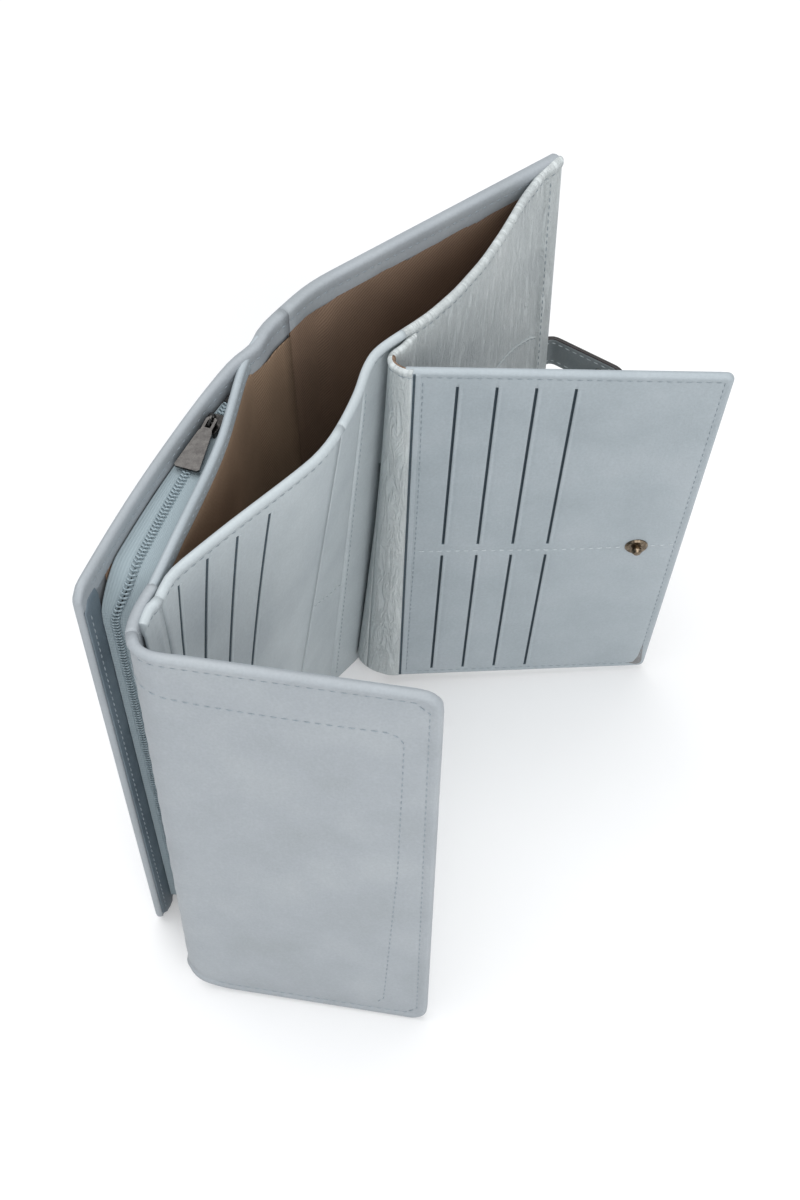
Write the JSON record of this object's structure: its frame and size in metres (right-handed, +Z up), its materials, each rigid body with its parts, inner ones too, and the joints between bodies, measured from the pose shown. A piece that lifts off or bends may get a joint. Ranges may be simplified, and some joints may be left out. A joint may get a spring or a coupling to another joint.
{
  "type": "travel wallet",
  "caption": "Multi-fold leather travel wallet with bill compartment, zip pocket, slotted card page, flap and snap tab, standing half open.",
  "frame": {"origin": "middle of the bounding box in plan, at the level of the cover's standing edges", "axes": "+Z up along the cover's height as it stands; +X to the right and +Y away from the opening, so that the card page points along +X"},
  "size_m": [0.1892, 0.2236, 0.19],
  "materials": {
    "cover_leather_blue_grey": "matte smooth grain",
    "panel_leather_grey": "matte smooth grain",
    "facing_leather_slate": "matte",
    "twill_brown": "twill weave",
    "zip_tape_blue": "woven tape",
    "zip_coil_blue": "nylon coil",
    "gunmetal": "gunmetal plate",
    "antique_bronze": "antique bronze plate",
    "board_grey": "pressed fibre board"
  },
  "bodies": {
    "right_half": {"outer_cover_right": "cover_leather_blue_grey", "twill_lining_right": "twill_brown", "top_facing_right": "cover_leather_blue_grey", "front_right_corner": "panel_leather_grey", "tab_root": "cover_leather_blue_grey"},
    "spine": {"outer_cover_spine": "cover_leather_blue_grey", "twill_lining_spine": "twill_brown", "top_facing_spine": "cover_leather_blue_grey"},
    "left_half": {"outer_cover_left": "cover_leather_blue_grey", "pocket_lining": "twill_brown", "leaf_top_facing": "cover_leather_blue_grey", "leaf_edge_facing": "facing_leather_slate", "inner_leaf": "panel_leather_grey", "inner_leaf_lining": "twill_brown", "inner_leaf_facing": "cover_leather_blue_grey", "front_left_corner": "panel_leather_grey", "zip_coil": "zip_coil_blue", "zip_tape_outer": "zip_tape_blue", "zip_tape_inner": "zip_tape_blue", "zip_top_stop": "gunmetal", "zip_end_stop": "gunmetal"},
    "front_right": {"front_right_lining": "twill_brown", "front_right_panel": "panel_leather_grey", "centre_strip": "panel_leather_grey"},
    "front_left": {"front_left_lining": "twill_brown", "front_left_panel": "panel_leather_grey"},
    "card_page": {"card_page_front": "panel_leather_grey", "card_pockets_upper": "twill_brown", "card_pockets_lower": "twill_brown", "card_page_board": "board_grey", "card_page_back": "panel_leather_grey", "snap_stud": "antique_bronze", "stud_rivet": "antique_bronze"},
    "page_hinge": {"page_spine_leather": "cover_leather_blue_grey"},
    "left_flap": {"left_flap_front": "cover_leather_blue_grey", "left_flap_board": "board_grey", "left_flap_back": "panel_leather_grey"},
    "flap_hinge": {"flap_spine_leather": "cover_leather_blue_grey"},
    "zip_slider": {"zip_slider_body": "gunmetal", "slider_bail": "gunmetal"},
    "zip_pull": {"zip_pull_plate": "gunmetal"},
    "closure_tab": {"tab_leather": "cover_leather_blue_grey", "tab_lining": "panel_leather_grey", "snap_socket": "antique_bronze", "socket_cap": "antique_bronze"}
  },
  "joints": [
    {"name": "wallet_fold", "type": "hinge", "parent": "right_half", "child": "spine", "pos_m": [-0.03135, 0.04424, 0], "axis": [0, 0, 1], "range_deg": [0, 50], "deforming": ["centre_strip"]},
    {"name": "spine_fold", "type": "hinge", "parent": "spine", "child": "left_half", "pos_m": [-0.04729, 0.02307, 0], "axis": [0, 0, 1], "range_deg": [0, 65.1]},
    {"name": "front_right_crease", "type": "hinge", "parent": "right_half", "child": "front_right", "pos_m": [0.0487, 0.10484, 0.1875], "axis": [0.2271, 0.173, 0.9584], "range_deg": [-18.6, 0]},
    {"name": "front_left_crease", "type": "hinge", "parent": "left_half", "child": "front_left", "pos_m": [-0.07273, -0.07074, 0.1875], "axis": [-0.1029, -0.3613, 0.9268], "range_deg": [0, 26.6]},
    {"name": "card_page_turn", "type": "hinge", "parent": "front_right", "child": "page_hinge", "pos_m": [-0.0028, 0.01956, 0.18564], "axis": [-0.0398, 0.0977, -0.9944], "range_deg": [-40, 0], "deforming": ["page_spine_leather"]},
    {"name": "page_spine_fold", "type": "hinge", "parent": "page_hinge", "child": "card_page", "pos_m": [-0.00639, 0.01535, 0.18537], "axis": [0.0398, -0.0977, 0.9944], "range_deg": [0, 51.1]},
    {"name": "left_flap_turn", "type": "hinge", "parent": "left_half", "child": "flap_hinge", "pos_m": [-0.06927, -0.07172, 0], "axis": [0, 0, -1], "range_deg": [-55, 0], "deforming": ["flap_spine_leather"]},
    {"name": "flap_spine_fold", "type": "hinge", "parent": "flap_hinge", "child": "left_flap", "pos_m": [-0.07481, -0.08891, 0], "axis": [0, 0, 1], "range_deg": [0, 84.1]},
    {"name": "zip_slider_run", "type": "slide", "parent": "left_half", "child": "zip_slider", "axis": [-0.3452, -0.9385, 0], "range_m": [0, 0.046]},
    {"name": "zip_pull_turn", "type": "hinge", "parent": "zip_slider", "child": "zip_pull", "pos_m": [-0.06065, -0.00763, 0.18675], "axis": [-0.9385, 0.3452, 0], "range_deg": [0, 120]},
    {"name": "closure_tab_turn", "type": "hinge", "parent": "right_half", "child": "closure_tab", "pos_m": [0.0465, 0.10838, 0.095], "axis": [0, 0, 1], "range_deg": [-4, 35]}
  ],
  "couplings": [
    {"joint": "spine_fold", "follows": "wallet_fold", "ratio": 1.3},
    {"joint": "front_right_crease", "follows": "wallet_fold", "ratio": -0.37},
    {"joint": "front_left_crease", "follows": "wallet_fold", "ratio": 0.53},
    {"joint": "page_spine_fold", "follows": "wallet_fold", "ratio": 1.02},
    {"joint": "flap_spine_fold", "follows": "wallet_fold", "ratio": 1.68}
  ]
}
